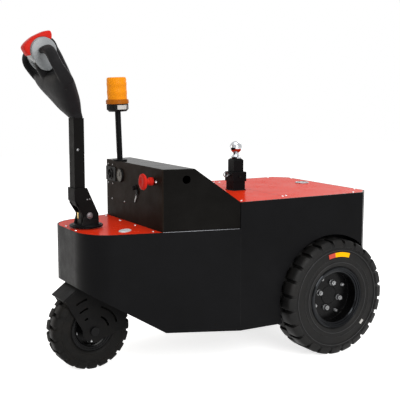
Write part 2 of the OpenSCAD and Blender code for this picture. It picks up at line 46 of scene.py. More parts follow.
# Places: mm, X from the rear axle, Y from the middle plane, Z from the ground
tyre_lo, tyre_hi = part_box("tyre_left")
AXLE = (tyre_lo.x + tyre_hi.x) / 2


def at(x, y, z):
    """Point of the scene, in metres, for a place in mm."""
    return Vector((x / 1000 + AXLE, y / 1000, z / 1000))


def corners(name):
    """Lowest and highest corner of a CAD node, in mm."""
    lo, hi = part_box(name)
    shift = Vector((AXLE, 0, 0))
    return (Vector(lo) - shift) * 1000, (Vector(hi) - shift) * 1000


def middle(name):
    """Middle of a CAD node's box, in mm."""
    lo, hi = corners(name)
    return (lo + hi) / 2


UP, FWD, LEFT = (0, 0, 1), (1, 0, 0), (0, 1, 0)
SIDES = ((1, "left"), (-1, "right"))
lo, hi = corners("tyre_left")
REAR_R, REAR_W, REAR_Y = (hi.z - lo.z) / 2, hi.y - lo.y, (hi.y + lo.y) / 2
lo, hi = corners("front_tyre")
FRONT_R, FRONT_W, FRONT_X = (hi.z - lo.z) / 2, hi.y - lo.y, (hi.x + lo.x) / 2
DASH = corners("dash_panel")[1].x
FRONT_TOP = corners("front_deck")[1].z
REAR_TOP = corners("rear_deck_rear")[1].z
SEAM_X = corners("rear_deck_front")[0].x
BEND_X = corners("rear_deck_front")[1].x
HALF = corners("side_left")[1].y
TAIL_X = corners("rear_panel")[0].x
CORNER_Y = corners("rear_panel")[1].y
CHEEK = corners("fork_cheeks")[1].y
PIN = middle("tiller_pin")
PIN_OUT = corners("tiller_pin")[1].y
YOKE = corners("tiller_yoke")[1].y
YOKE_FRONT = corners("tiller_yoke")[1].x - FRONT_X
ARM = corners("tiller_arm")[1].y
FLANGE_Z = corners("tiller_flange")[0].z
FLANGE_R = corners("tiller_flange")[1].y
TOW = middle("tow_socket")
TOW_HALF = corners("tow_socket")[1].y
POST_TOP = corners("tow_post")[1].z
SOCKET_TOP = corners("tow_socket")[1].z
# Sideways narrowing of the body for each mm ahead of the bend, and thickness of its plates
TAPER = tan(radians(13.6))
WALL = 5


def plan_y(x):
    """Half width of the body at a station."""
    return HALF - max(x - BEND_X, 0) * TAPER


# Materials

def new_material(name):
    m = bpy.data.materials.new(name)
    m.use_nodes = True
    t = m.node_tree
    t.nodes.clear()
    out = t.nodes.new("ShaderNodeOutputMaterial")
    sh = t.nodes.new("ShaderNodeBsdfPrincipled")
    t.links.new(sh.outputs[0], out.inputs[0])
    return m, t, sh


def tint(c, k):
    """The colour made k times as bright."""
    return (min(c[0] * k, 1), min(c[1] * k, 1), min(c[2] * k, 1), 1)


def noise(t, coord, scale, detail, rough):
    n = t.nodes.new("ShaderNodeTexNoise")
    n.inputs["Scale"].default_value = scale
    n.inputs["Detail"].default_value = detail
    n.inputs["Roughness"].default_value = rough
    t.links.new(coord, n.inputs["Vector"])
    return n.outputs[0]


def remap(t, value, a, b, lo, hi):
    n = t.nodes.new("ShaderNodeMapRange")
    n.clamp = True
    n.inputs["From Min"].default_value = a
    n.inputs["From Max"].default_value = b
    n.inputs["To Min"].default_value = lo
    n.inputs["To Max"].default_value = hi
    t.links.new(value, n.inputs["Value"])
    return n.outputs[0]


def mix(t, fac, a, b):
    n = t.nodes.new("ShaderNodeMix")
    n.data_type = "RGBA"
    t.links.new(fac, n.inputs[0])
    for sock, v in ((n.inputs[6], a), (n.inputs[7], b)):
        if isinstance(v, tuple):
            sock.default_value = v
        else:
            t.links.new(v, sock)
    return n.outputs[2]


def times(t, a, b):
    n = t.nodes.new("ShaderNodeMath")
    n.operation = "MULTIPLY"
    t.links.new(a, n.inputs[0])
    t.links.new(b, n.inputs[1])
    return n.outputs[0]


def finish_material(name, base, rough, metal=0.0, spec=0.5, var=0.2, var_scale=7.0, rvar=0.08,
                    grain=700.0, bump=0.06, second=None, edge=None, edge_r=0.002, soft=0.0012,
                    dust=None, dust_amount=0.5, coat=0.0, stretch=(1, 1, 1), gleam=(1, 1, 1)):
    """A procedural finish: cloudy colour, fine grain in the bump, uneven gloss, lighter edges that are partly
    wear and partly painted highlight, and dust.
    """
    m, t, sh = new_material(name)
    tc = t.nodes.new("ShaderNodeTexCoord")
    mp = t.nodes.new("ShaderNodeMapping")
    mp.inputs["Scale"].default_value = stretch
    t.links.new(tc.outputs["Object"], mp.inputs["Vector"])
    co = mp.outputs[0]
    cloud = noise(t, co, var_scale, 5.0, 0.6)
    col = mix(t, remap(t, cloud, 0.3, 0.7, 0, 1), tint(base, 1 - var), tint(base, 1 + var))
    fine = noise(t, co, grain, 2.0, 0.5)
    if second:
        speck = remap(t, fine, 0.62, 0.72, 0, 0.5)
        col = mix(t, speck, col, (*second, 1))
    if dust:
        d = times(t, remap(t, noise(t, co, 16.0, 6.0, 0.7), 0.45, 0.75, 0, dust_amount),
                  remap(t, fine, 0.35, 0.6, 0.5, 1))
        col = mix(t, d, col, (*dust, 1))
    bev = t.nodes.new("ShaderNodeBevel")
    bev.samples = 4
    bev.inputs["Radius"].default_value = soft
    # Lighter colour along the edges: partly wear, partly a painted highlight where edges catch light.
    if edge:
        wide = t.nodes.new("ShaderNodeBevel")
        wide.samples = 4
        wide.inputs["Radius"].default_value = edge_r
        geo = t.nodes.new("ShaderNodeNewGeometry")
        dot = t.nodes.new("ShaderNodeVectorMath")
        dot.operation = "DOT_PRODUCT"
        t.links.new(wide.outputs[0], dot.inputs[0])
        t.links.new(geo.outputs["Normal"], dot.inputs[1])
        edge_wear_and_highlight = times(t, remap(t, dot.outputs["Value"], 0.98, 0.8, 0, 1),
                     remap(t, noise(t, co, 60.0, 4.0, 0.7), 0.4, 0.62, 0.15, 0.9))
        col = mix(t, edge_wear_and_highlight, col, (*edge, 1))
    t.links.new(col, sh.inputs["Base Color"])
    uneven = noise(t, co, var_scale * 3.1, 4.0, 0.65)
    t.links.new(remap(t, uneven, 0.3, 0.7, rough - rvar, rough + rvar), sh.inputs["Roughness"])
    bp = t.nodes.new("ShaderNodeBump")
    bp.inputs["Strength"].default_value = bump
    bp.inputs["Distance"].default_value = 0.001
    t.links.new(fine, bp.inputs["Height"])
    t.links.new(bev.outputs[0], bp.inputs["Normal"])
    t.links.new(bp.outputs[0], sh.inputs["Normal"])
    sh.inputs["Metallic"].default_value = metal
    sh.inputs["Specular IOR Level"].default_value = spec
    sh.inputs["Specular Tint"].default_value = (*gleam, 1)
    sh.inputs["Coat Weight"].default_value = coat
    sh.inputs["Coat Roughness"].default_value = 0.12
    return m


BLACK = finish_material("black_powder_coat", (0.0028, 0.0028, 0.0032), 0.4, spec=0.05, var=0.25,
                        grain=1100, bump=0.1, second=(0.006, 0.006, 0.007),
                        edge=(0.024, 0.024, 0.025), edge_r=0.0016)
HOOD = finish_material("black_hood_gloss", (0.0062, 0.006, 0.0058), 0.2, spec=0.012, var=0.25, rvar=0.03,
                       grain=900, bump=0.012, edge=(0.024, 0.024, 0.025), edge_r=0.0016,
                       gleam=(1.0, 0.86, 0.66))
# Black dash with a brown tint: the brown is a painted warm reflection of the red deck and the front light.
PANEL_WARM_REFLECTION = finish_material("black_panel_painted_warm_reflection", (0.0105, 0.0066, 0.0044), 0.5, spec=0.025, var=0.2,
                        grain=1000, bump=0.08, edge=(0.024, 0.022, 0.02), edge_r=0.0014)
ARM_COAT = finish_material("black_arm_paint", (0.0042, 0.0038, 0.0037), 0.5, spec=0.03, var=0.25,
                           grain=1000, bump=0.1, edge=(0.03, 0.029, 0.028), edge_r=0.0016)
FORK = finish_material("black_fork_paint", (0.0034, 0.0033, 0.0034), 0.48, spec=0.06, var=0.3,
                       grain=900, bump=0.12, edge=(0.03, 0.029, 0.028), dust=(0.018, 0.016, 0.013),
                       dust_amount=0.3)
RED = finish_material("red_enamel", (0.57, 0.026, 0.007), 0.24, spec=0.008, var=0.05, rvar=0.06,
                      var_scale=3.0, grain=260, bump=0.012, edge=(0.64, 0.05, 0.04))
# The tyre's lighter edge colour is mostly a painted highlight that brings out its mould lines and lug edges.
RUBBER = finish_material("tyre_rubber", (0.0054, 0.0053, 0.0052), 0.55, spec=0.14, var=0.3,
                         grain=420, bump=0.1, soft=0.0007, edge=(0.06, 0.06, 0.061),
                         edge_r=0.0016, dust=(0.026, 0.022, 0.018), dust_amount=0.22)
FRONT_RUBBER = finish_material("front_tyre_rubber", (0.0042, 0.004, 0.0038), 0.6, spec=0.09,
                               var=0.3, grain=420, bump=0.12, soft=0.0022,
                               edge=(0.018, 0.016, 0.014), edge_r=0.004,
                               dust=(0.024, 0.02, 0.016), dust_amount=0.35)
LIP = finish_material("rim_lip_gloss", (0.0018, 0.0019, 0.0023), 0.1, spec=0.15, var=0.2, rvar=0.03,
                      grain=500, bump=0.02, soft=0.0009, gleam=(0.86, 0.92, 1.0))
# Mould lines in a lighter rubber than the tyre: the lighter colour is a painted highlight.
BEAD_HIGHLIGHT = finish_material("rubber_bead_painted_highlight", (0.012, 0.012, 0.0126), 0.4, spec=0.3, var=0.3, grain=700,
                       bump=0.1, soft=0.0009)
RIM = finish_material("rim_gloss_black", (0.0018, 0.0018, 0.002), 0.28, spec=0.1, var=0.25,
                      grain=500, bump=0.03, edge=(0.03, 0.03, 0.032), dust=(0.01, 0.009, 0.008),
                      dust_amount=0.2)
ZINC = finish_material("dull_zinc", (0.24, 0.243, 0.247), 0.36, metal=1.0, var=0.24, grain=900,
                       bump=0.06, edge=(0.5, 0.5, 0.51), dust=(0.1, 0.095, 0.085), dust_amount=0.4)
BRIGHT = finish_material("bright_zinc", (0.62, 0.63, 0.64), 0.3, metal=1.0, var=0.15, grain=900,
                         bump=0.05, edge=(0.75, 0.75, 0.76))
SILVER = finish_material("blank_silver_badge", (0.52, 0.54, 0.55), 0.5, metal=0.3, spec=0.3, var=0.12,
                         grain=700, bump=0.03)
YELLOW_ZINC = finish_material("yellow_zinc", (0.5, 0.36, 0.13), 0.36, metal=1.0, var=0.22, grain=800,
                              bump=0.06, edge=(0.68, 0.55, 0.3))
CHROME = finish_material("polished_chrome", (0.5, 0.51, 0.53), 0.07, metal=1.0, var=0.04, rvar=0.03,
                         grain=300, bump=0.004)
STEEL = finish_material("turned_steel", (0.22, 0.22, 0.226), 0.34, metal=1.0, var=0.2, grain=600,
                        bump=0.05, stretch=(1, 6, 1))
PIN_STEEL = finish_material("dull_pin_steel", (0.15, 0.135, 0.14), 0.5, metal=1.0, var=0.2, grain=600,
                            bump=0.08, soft=0.002)
CAST = finish_material("painted_casting", (0.018, 0.018, 0.02), 0.62, spec=0.15, var=0.3,
                       grain=300, bump=0.3, edge=(0.05, 0.047, 0.043), dust=(0.05, 0.042, 0.034))
CASE = finish_material("battery_case", (0.03, 0.034, 0.042), 0.55, spec=0.2, grain=500, bump=0.15)
PLASTIC = finish_material("moulded_black_plastic", (0.011, 0.0107, 0.0114), 0.46, spec=0.03, var=0.2,
                          grain=1300, bump=0.16, second=(0.017, 0.017, 0.017), soft=0.002)
MATT = finish_material("matt_black_plastic", (0.006, 0.006, 0.0063), 0.56, spec=0.1, var=0.2,
                       grain=900, bump=0.1, soft=0.001)
GREY = finish_material("satin_grey_plastic", (0.215, 0.226, 0.234), 0.28, spec=0.22, var=0.06,
                       grain=900, bump=0.03, soft=0.003)
SIGNAL = finish_material("signal_red_plastic", (0.47, 0.017, 0.011), 0.34, spec=0.02, var=0.07,
                         grain=700, bump=0.03, soft=0.003, edge=(0.54, 0.035, 0.02))
AMBER = finish_material("amber_lens", (0.72, 0.24, 0.008), 0.24, spec=0.03, var=0.08, grain=500,
                        bump=0.02, soft=0.001, edge=(0.76, 0.28, 0.012), edge_r=0.002)
# Darker amber for the ring at the lens's foot: its darkness is painted shade.
AMBER_RING_SHADE = finish_material("amber_ring_painted_shade", (0.3, 0.085, 0.006), 0.3, spec=0.03, var=0.1, grain=500,
                             bump=0.02)
DIAL = finish_material("gauge_face", (0.06, 0.055, 0.043), 0.25, spec=0.12, var=0.1, grain=500,
                       bump=0.01, coat=0.1)
LABEL = finish_material("blank_label", (0.43, 0.42, 0.4), 0.42, spec=0.15, var=0.04, grain=900,
                        bump=0.02, soft=0.0004)
# Bright grey of the body's ledge: a painted highlight where its edge catches light.
LEDGE_HIGHLIGHT = finish_material("bright_edge_painted_highlight", (0.2, 0.205, 0.22), 0.4, metal=0.6, var=0.3, grain=600, bump=0.1)
STICK_RED = finish_material("sticker_red", (0.46, 0.06, 0.04), 0.4, spec=0.1, var=0.08, grain=700,
                            bump=0.05, soft=0.0004)
STICK_YELLOW = finish_material("sticker_yellow", (0.88, 0.4, 0.003), 0.4, spec=0.02, var=0.08,
                               grain=700, bump=0.05, soft=0.0004)

# Finishes of the CAD nodes that show
COATS = {
    BLACK: "front_wrap side_left side_right rear_panel floor_pan rail_left rail_right wheel_well "
           "tow_socket tow_post mast",
    HOOD: "hood",
    PANEL_WARM_REFLECTION: "dash_panel",
    ARM_COAT: "tiller_yoke tiller_arm",
    FORK: "fork_crown fork_cheeks",
    RED: "front_deck rear_deck_front rear_deck_rear",
    RIM: "rim_left rim_right front_rim hub_left hub_right front_axle",
    STEEL: "tow_pin steer_shaft",
    PIN_STEEL: "tiller_pin",
    CHROME: "tow_ball",
    CAST: "axle_housing drive_motor",
    CASE: "battery",
    MATT: "charge_socket beacon_base gauge",
    SIGNAL: "estop",
}
for material, names in COATS.items():
    for n in names.split():
        nodes[n].data.materials.clear()
        nodes[n].data.materials.append(material)


# Mesh helpers

def facing(pos, axis, spin=0.0):
    """Matrix that stands a piece's +Z along axis at pos."""
    q = Vector((0, 0, 1)).rotation_difference(Vector(axis).normalized())
    return Matrix.Translation(pos) @ q.to_matrix().to_4x4() @ Matrix.Rotation(spin, 4, "Z")


def lathe(bm, profile, sides, mtx):
    """Turns (radius, height) points in mm round the matrix's Z; an end radius of 0 closes that end."""
    rings = []
    for r, h in profile:
        if r == 0:
            rings.append([bm.verts.new(mtx @ Vector((0, 0, h / 1000)))])
            continue
        turn = [2 * pi * k / sides for k in range(sides)]
        rings.append([bm.verts.new(mtx @ (Vector((r * cos(a), r * sin(a), h)) / 1000)) for a in turn])
    for a, b in zip(rings, rings[1:]):
        for k in range(sides):
            j = (k + 1) % sides
            if len(a) == 1:
                bm.faces.new((a[0], b[k], b[j]))
            elif len(b) == 1:
                bm.faces.new((a[k], a[j], b[0]))
            else:
                bm.faces.new((a[k], a[j], b[j], b[k]))


def loft(bm, rings, closed=False):
    """Skins rings of equal length and caps the ends of an open row."""
    vs = [[bm.verts.new(p) for p in r] for r in rings]
    n = len(vs[0])
    pairs = list(zip(vs, vs[1:]))
    if closed:
        pairs.append((vs[-1], vs[0]))
    for a, b in pairs:
        for k in range(n):
            j = (k + 1) % n
            bm.faces.new((a[k], a[j], b[j], b[k]))
    if not closed:
        bm.faces.new(vs[0][::-1])
        bm.faces.new(vs[-1])


def plate(bm, outline, place, a, b, edge):
    """Extrudes an outline from a to b with rounded edges; place(u, v, w) gives the point."""
    cu = sum(p[0] for p in outline) / len(outline)
    cv = sum(p[1] for p in outline) / len(outline)
    rings = []
    steps = ((1, a), (0.3, a + edge * 0.3), (0, a + edge), (0, b - edge), (0.3, b - edge * 0.3), (1, b))
    for k, w in steps:
        ring = []
        for u, v in outline:
            q = Vector((u - cu, v - cv))
            q *= 1 - edge * k / q.length
            ring.append(place(cu + q.x, cv + q.y, w))
        rings.append(ring)
    loft(bm, rings)


def piece(name, bm, materials, body, slot, sharp=32, replaces=()):
    """Makes a piece of the scene from a mesh; edges that turn by more than sharp degrees stay crisp."""
    bmesh.ops.recalc_face_normals(bm, faces=bm.faces[:])
    for f in bm.faces:
        f.smooth = True
    for e in bm.edges:
        if len(e.link_faces) == 2 and e.calc_face_angle(0.0) > radians(sharp):
            e.smooth = False
    me = bpy.data.meshes.new(name)
    bm.to_mesh(me)
    bm.free()
    for m in materials:
        me.materials.append(m)
    ob = bpy.data.objects.new(name, me)
    scene.collection.objects.link(ob)
    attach(ob, body)
    if replaces:
        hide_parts(*replaces)
    return ob


def many(name, items, material, body, slot, **kw):
    """One piece made of several (maker, arguments) pairs."""
    bm = bmesh.new()
    for make, args in items:
        make(bm, *args)
    return piece(name, bm, [material], body, slot, **kw)


def screw(bm, pos, axis, d, spin=0.3):
    """Button-head screw with a socket."""
    r, h = d / 2, d * 0.3
    m = facing(pos, axis, spin)
    lathe(bm, [(r, 0), (r, 0.25 * h), (0.9 * r, 0.65 * h), (0.7 * r, 0.92 * h), (0.5 * r, h)], 20, m)
    lathe(bm, [(0.5 * r, h), (0.44 * r, h), (0.42 * r, 0.45 * h), (0, 0.4 * h)], 6, m)


# A washer's thickness and rounded edge, and how far a nut sits into it
WASHER_T, WASHER_EDGE, WASHER_SEAT = 2.4, 0.6, 0.2


def hex_nut(bm, pos, axis, af, h, spin=0.0, stud=0.0, washer=0.0):
    """Hexagon nut or bolt head with chamfered corners, a washer and the stud's end."""
    m = facing(pos, axis, spin)
    z = 0.0
    if washer:
        lathe(bm, [(0, 0), (washer, 0), (washer, WASHER_T - WASHER_EDGE),
                   (washer - WASHER_EDGE, WASHER_T), (0, WASHER_T)], 32, m)
        z = WASHER_T - WASHER_SEAT
    c = af / 2 / cos(pi / 6)
    lathe(bm, [(0.94 * c, z), (c, z + 0.8), (c, z + h - 1.6), (0.86 * c, z + h), (0.52 * c, z + h),
               (0.46 * c, z + h - 1.2), (0, z + h - 1.2)], 6, m)
    if stud:
        lathe(bm, [(0.4 * c, z + h - 2), (0.4 * c, z + h + stud - 1), (0.32 * c, z + h + stud),
                   (0, z + h + stud)], 16, m)


def oval(bm, pos, axis, a, b, h, spin, profile):
    """Oval badge with no lettering; profile gives the share of the size and of the height."""
    m = facing(pos, axis, spin)
    turn = [2 * pi * i / 48 for i in range(48)]
    loft(bm, [[m @ (Vector((a * k * cos(q), b * k * sin(q), h * z)) / 1000) for q in turn]
              for k, z in profile])


def strip(bm, pts, w, h):
    """Low rounded bead along points."""
    rings = []
    for i, q in enumerate(pts):
        d = (pts[min(i + 1, len(pts) - 1)] - pts[max(i - 1, 0)]).normalized()
        n = d.cross(Vector(UP)).normalized()
        rings.append([q + n * (w * cos(a) / 2000) + Vector((0, 0, h * max(sin(a), 0) / 1000))
                      for a in (pi, 5 * pi / 6, 2 * pi / 3, pi / 2, pi / 3, pi / 6, 0)])
    loft(bm, rings)


def hoop(bm, centre, r, thick):
    """Wire ring standing across the machine."""
    rings = []
    for i in range(28):
        a = 2 * pi * i / 28
        rings.append([centre + Vector((thick * sin(b), (r + thick * cos(b)) * cos(a),
                                       (r + thick * cos(b)) * sin(a))) / 1000
                      for b in [2 * pi * j / 8 for j in range(8)]])
    loft(bm, rings, closed=True)


# Decks
DECK_SCREW = 9
# Places of the deck screws: ahead of the dash, near the nose, and one side of the rear deck
BY_DASH = ((19, -80), (18, 54), (21, 212), (21, -212))
BY_NOSE = ((975, 53), (970, -58))
ON_REAR = ((SEAM_X + 3, 261), (SEAM_X - 20, 251), (TAIL_X + 14, CORNER_Y - 46), (TAIL_X + 89, 303),
           (BEND_X - 20, 290))
deck_places = [at(DASH + x, y, FRONT_TOP) for x, y in BY_DASH]
deck_places += [at(x, y, FRONT_TOP) for x, y in BY_NOSE]
deck_places += [at(x, s * y, REAR_TOP) for x, y in ON_REAR for s in (1, -1)]
many("deck_screws", [(screw, (q, UP, DECK_SCREW)) for q in deck_places], BRIGHT, "chassis", "steel")
# Sections of the blank badges: share of the size and of the height
DOMED = ((1, 0), (1, 0.6), (0.96, 1), (0.9, 0.95), (0.87, 0.55), (0.8, 0.62), (0.5, 0.9), (0.15, 1))
RINGED = ((1, 0), (1, 0.7), (0.96, 1), (0.82, 1), (0.78, 0.7), (0.76, 0.1), (0.3, 0.1))
# Badges: place, half length, half width, height and turn
FRONT_BADGE = (at(821, 146, FRONT_TOP), UP, 34, 21, 2.6, 0.75)
REAR_BADGE = (at(-136, -63, REAR_TOP), UP, 34, 30, 3, 0.9)
many("deck_badge_front", [(oval, (*FRONT_BADGE, DOMED))], SILVER, "chassis", "steel")
many("deck_badge_rear", [(oval, (*REAR_BADGE, RINGED))], ZINC, "chassis", "steel")
# Dark line in the seam of the rear deck, sunk so that only its top shows
SEAM_HALF, SEAM_STEP, SEAM_W, SEAM_H, SEAM_SUNK = 312, 24, 3.4, 1.2, 1
seam = [at(SEAM_X - 0.5, y, REAR_TOP - SEAM_SUNK) for y in range(-SEAM_HALF, SEAM_HALF + 1, SEAM_STEP)]
many("deck_seam", [(strip, (seam, SEAM_W, SEAM_H))], MATT, "chassis", "black_plastic")
# Bright grey strip along the hood's foot: the body's ledge, its brightness a painted highlight
LEDGE_STATIONS = range(432, 719, 13)
LEDGE_W, LEDGE_H = 4.4, 1.6
for side, word in SIDES:
    line = [at(x, side * (plan_y(x) - WALL / 2), FRONT_TOP) for x in LEDGE_STATIONS]
    many("hood_ledge_" + word, [(strip, (line, LEDGE_W, LEDGE_H))], LEDGE_HIGHLIGHT, "chassis", "steel")

# Dash
socket = middle("charge_socket")
gauge = middle("gauge")
gauge_face = corners("gauge")[1].x
gauge_r = (corners("gauge")[1] - gauge).z
lock = middle("key_switch")
PLATE_SCREW, PLATE_SCREW_Y, PLATE_SCREW_Z = 8, (-194, -77), 614
SOCKET_SCREW, SOCKET_ACROSS, SOCKET_UP, SOCKET_RIM = 6, 21, 38, 4
dash_screws = [(screw, (at(DASH, y, PLATE_SCREW_Z), FWD, PLATE_SCREW)) for y in PLATE_SCREW_Y]
dash_screws += [(screw, (at(DASH + SOCKET_RIM, socket.y + a, socket.z + b), FWD, SOCKET_SCREW))
                for a in (-SOCKET_ACROSS, SOCKET_ACROSS) for b in (-SOCKET_UP, SOCKET_UP)]
many("dash_screws", dash_screws, ZINC, "chassis", "steel")
LAMP_Y, LAMP_Z = 197, 720
LAMP = [(0, 0), (6, 0), (6, 1.5), (4.5, 2.2), (4.2, 3.5), (2.5, 4.8), (0, 5.2)]
many("dash_lamp", [(lathe, (LAMP, 20, facing(at(DASH, LAMP_Y, LAMP_Z), FWD)))], CHROME, "chassis", "steel")
face_m = facing(at(gauge_face, gauge.y, gauge.z), FWD)
dial_r = gauge_r - 3
dial = [(0, 0.2), (dial_r, 0.2), (dial_r, 0.8), (0, 1)]
bezel = [(dial_r - 0.4, 0), (dial_r, 1.6), (gauge_r - 1.6, 2), (gauge_r, 1), (gauge_r, -5)]
many("gauge_face", [(lathe, (dial, 56, face_m))], DIAL, "chassis", "grey_plastic")
many("gauge_bezel", [(lathe, (bezel, 56, face_m))], MATT, "chassis", "black_plastic")
# Ticks of the dial: how many, turn of the first, sweep of them all in degrees
TICKS, TICK_FROM, TICK_SWEEP = 7, 200, 220
NEEDLE = [(-3, -4), (3, -3), (9, 14), (8, 14.5)]


def gauge_marks(bm):
    """Ticks round the dial and the needle, on the face."""
    def on_face(u, v, w):
        return at(gauge_face + w, gauge.y + u, gauge.z + v)
    r0, r1 = gauge_r - 10, gauge_r - 6
    for k in range(TICKS):
        a = radians(TICK_FROM - k * TICK_SWEEP / (TICKS - 1))
        c, s = cos(a), sin(a)
        tick = [(r0 * c - s, r0 * s + c), (r1 * c - s, r1 * s + c), (r1 * c + s, r1 * s - c),
                (r0 * c + s, r0 * s - c)]
        plate(bm, tick, on_face, 0.7, 1.3, 0.1)
    plate(bm, NEEDLE, on_face, 0.8, 1.6, 0.1)


many("gauge_marks", [(gauge_marks, ())], MATT, "chassis", "black_plastic")
CONTACT = [(0, 5), (5, 5), (5, 11), (4, 12.5), (0, 12.5)]
CONTACTS = ((-9, 0), (9, 0), (0, -9))
many("socket_pins", [(lathe, (CONTACT, 16, facing(at(DASH, socket.y + a, socket.z + b), FWD)))
                     for a, b in CONTACTS], MATT, "chassis", "black_plastic")


def on_dash(u, v, w):
    """Point of the dash, from the key switch: to the left, up and out."""
    return at(DASH + w, lock.y + u, lock.z + v)


# Lock and keys, seen from ahead: the lock's section, then outlines to the left and up
LOCK = [(12, 0), (12, 4), (11, 5), (9, 5), (9, 12), (8, 13), (0, 13)]
LOCK_BAR = [(-2, -8), (2, -8), (2, 8), (-2, 8)]
KEY_BOW = [(3, -2), (10, -4), (19, -6), (24, -12), (23, -21), (16, -26), (9, -23), (7, -14)]
KEY_BLADE = [(3, -31), (10, -30), (11, -36), (7, -41), (-2, -55), (-5, -57), (-8, -54), (-4, -47),
             (-5, -44), (0, -38)]
KEY_RING, KEY_RING_R, KEY_WIRE = (10, -27, 4), 5, 0.9
many("lock_detail", [(lathe, (LOCK, 40, facing(on_dash(0, 0, 0), FWD))),
                     (plate, (LOCK_BAR, on_dash, 12, 16, 0.5))],
     FORK, "chassis", "steel", replaces=("key_switch",))
many("key_bow", [(plate, (KEY_BOW, on_dash, 1.5, 6.5, 1.4))], MATT, "chassis", "black_plastic")
many("hanging_key", [(hoop, (on_dash(*KEY_RING), KEY_RING_R, KEY_WIRE)),
                     (plate, (KEY_BLADE, on_dash, 2, 4.2, 0.4))], ZINC, "chassis", "steel")

# Tow hitch
WELD_R, WELD_STEPS, WELD_RIPPLE, WELD_PITCH = 4.0, 24, 0.16, 2.1
WELD_HALF = TOW_HALF - 4


def bead(bm, half, z, r):
    """Rippled weld bead round the square tow socket."""
    square = ((-half, -half), (half, -half), (half, half), (-half, half))
    pts = []
    for (ax, ay), (bx, by) in zip(square, square[1:] + square[:1]):
        pts += [(ax + (bx - ax) * k / WELD_STEPS, ay + (by - ay) * k / WELD_STEPS) for k in range(WELD_STEPS)]
    rings = []
    for i, (x, y) in enumerate(pts):
        rr = r * (1 + WELD_RIPPLE * sin(i * WELD_PITCH))
        out = Vector((x, y, 0)).normalized()
        c = at(TOW.x + x, y, z)
        rings.append([c + (out * cos(a) + Vector(UP) * sin(a)) * rr / 1000
                      for a in (0, pi / 4, pi / 2, 3 * pi / 4, pi)])
    loft(bm, rings, closed=True)


# Hexagon under the ball, and the socket's clamp bolts: width across flats, height, turn, stud
BALL_HEX = (38, 9, 0.2)
CLAMP_BOLT = (10, 4, 0.4, 1)
CLAMP_DOWN = 20
many("tow_weld", [(bead, (WELD_HALF, REAR_TOP, WELD_R))], BLACK, "chassis", "black_paint")
many("tow_ball_hex", [(hex_nut, (at(TOW.x, 0, POST_TOP), UP, *BALL_HEX))], CHROME, "chassis", "tow_chrome")
many("tow_bolts", [(hex_nut, (at(TOW.x, s * TOW_HALF, SOCKET_TOP - CLAMP_DOWN), (0, s, 0), *CLAMP_BOLT))
                   for s in (1, -1)], FORK, "chassis", "black_paint")

# Beacon: heights are along the mast's leaning axis, from the hood
mast_lo, mast_hi = corners("mast")
MAST_FOOT_R = (mast_hi.y - mast_lo.y) / 2
LENS_LO, LENS_HI = corners("beacon_lens")
BASE_LO, BASE_HI = corners("beacon_base")
BASE_R = (BASE_HI.y - BASE_LO.y) / 2
LEAN = radians(2)
mast_m = (Matrix.Translation(at(mast_lo.x + MAST_FOOT_R, mast_lo.y + MAST_FOOT_R, mast_lo.z))
          @ Matrix.Rotation(LEAN, 4, "Y"))
BASE_UP = BASE_LO.z - mast_lo.z + 1
LENS_FOOT = LENS_LO.z - mast_lo.z + 1
LENS_R = (LENS_HI.y - LENS_LO.y) / 2
LENS_TALL = LENS_HI.z - LENS_LO.z - 3
# Lens: ring at its foot, set back above it, raised bands from and to a height, flutes
RING_TALL, RING_EDGE = 17, (2.5, 4)
LENS_IN, BAND_OUT, BAND_SLOPE = 6.8, 0.8, 2
BANDS = ((36, 52), (70, 84))
FLUTE, FLUTES = 0.3, 40


def on_mast(up, turn, r):
    """Point at r mm from the mast's axis, up mm above the hood."""
    a = radians(turn)
    return mast_m @ (Vector((r * cos(a), r * sin(a), up)) / 1000)


def mast_patch(bm, up, h, r, thick, a0, a1):
    """Curved patch on the beacon's side."""
    turns = [a0 + (a1 - a0) * k / 14 for k in range(15)]
    loft(bm, [[on_mast(up, a, r), on_mast(up, a, r + thick), on_mast(up + h, a, r + thick),
               on_mast(up + h, a, r)] for a in turns])


def lens(bm):
    """Lens with two raised bands and fine upright flutes."""
    steps = [(RING_TALL, 0)]
    for low, high in BANDS:
        steps += [(low, 0), (low + BAND_SLOPE, BAND_OUT), (high - BAND_SLOPE, BAND_OUT), (high, 0)]
    steps += [(LENS_TALL - 6, 0), (LENS_TALL - 2, -2), (LENS_TALL, -6)]
    body_r, turn = LENS_R - LENS_IN, 90 / FLUTES
    loft(bm, [[on_mast(LENS_FOOT + up, k * turn, body_r + more + FLUTE * cos(k * pi / 2))
               for k in range(4 * FLUTES)] for up, more in steps])


# Label and ribs of the base: height of the foot, height, depth, and turns in degrees
LABEL_UP, LABEL_TALL, LABEL_T, LABEL_TURNS = 9, 17, 0.5, (65, 132)
RIB_UP, RIB_TALL, RIB_DEEP, RIB_SUNK, RIB_WIDE = 8, 20, 2.0, 1, 3.2
RIB_TURNS = range(-240, 50, 10)
ring_top = LENS_FOOT + RING_TALL
lens_foot = [(0, LENS_FOOT), (LENS_R, LENS_FOOT), (LENS_R, ring_top - RING_EDGE[1]),
             (LENS_R - RING_EDGE[0], ring_top), (0, ring_top)]
many("beacon_label", [(mast_patch, (BASE_UP + LABEL_UP, LABEL_TALL, BASE_R, LABEL_T, *LABEL_TURNS))],
     LABEL, "chassis", "black_plastic")
many("lens_detail", [(lens, ())], AMBER, "chassis", "amber_lens", replaces=("beacon_lens",))
# The foot ring takes the darker amber: painted shade at the lens's foot.
many("lens_ring", [(lathe, (lens_foot, 72, mast_m))], AMBER_RING_SHADE, "chassis", "amber_lens")
many("beacon_ribs", [(mast_patch, (BASE_UP + RIB_UP, RIB_TALL, BASE_R - RIB_SUNK, RIB_DEEP, a, a + RIB_WIDE))
                     for a in RIB_TURNS], MATT, "chassis", "black_plastic")


# Wheels

